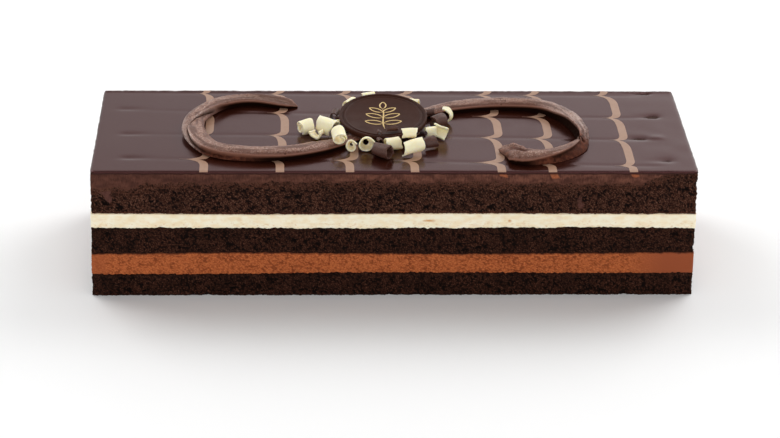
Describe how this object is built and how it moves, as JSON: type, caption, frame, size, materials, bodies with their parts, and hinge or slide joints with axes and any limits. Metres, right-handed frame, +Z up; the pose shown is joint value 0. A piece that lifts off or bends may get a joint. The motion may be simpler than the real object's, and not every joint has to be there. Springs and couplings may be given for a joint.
{
  "type": "mousse bar cake",
  "caption": "Long rectangular layer cake of dark sponge with milk and white mousse under feathered ganache, topped by a piped scroll, a round chocolate plaque and chocolate curls.",
  "frame": {"origin": "middle of the cake's underside", "axes": "+X along the length of the bar, +Y from the shown long side to the back, +Z up"},
  "size_m": [0.2838, 0.0886, 0.0765],
  "materials": {
    "chocolate_sponge": "matte, porous crumb",
    "milk_mousse": "matte, finely porous",
    "white_mousse": "matte, smooth",
    "ganache_glaze": "soft gloss with feathered milk chocolate lines",
    "piped_ganache": "satin, finely pitted",
    "dark_chocolate": "satin, with a gold ornament",
    "white_chocolate": "waxy",
    "dark_chocolate_curl": "waxy"
  },
  "bodies": {
    "root": {"sponge_bottom": "chocolate_sponge", "mousse_milk": "milk_mousse", "sponge_middle": "chocolate_sponge", "mousse_white": "white_mousse", "sponge_top": "chocolate_sponge", "ganache_top": "ganache_glaze", "piped_scroll": "piped_ganache", "plaque": "dark_chocolate", "white_curl_01": "white_chocolate", "white_curl_02": "white_chocolate", "white_curl_03": "white_chocolate", "white_curl_04": "white_chocolate", "white_curl_05": "white_chocolate", "white_curl_06": "white_chocolate", "white_curl_07": "white_chocolate", "white_curl_08": "white_chocolate", "white_curl_09": "white_chocolate", "white_curl_10": "white_chocolate", "white_curl_11": "white_chocolate", "white_curl_12": "white_chocolate", "white_curl_13": "white_chocolate", "white_curl_14": "white_chocolate", "dark_curl_01": "dark_chocolate_curl", "dark_curl_02": "dark_chocolate_curl", "dark_curl_03": "dark_chocolate_curl", "dark_curl_04": "dark_chocolate_curl", "dark_curl_05": "dark_chocolate_curl", "dark_curl_06": "dark_chocolate_curl", "dark_curl_07": "dark_chocolate_curl"}
  },
  "joints": []
}
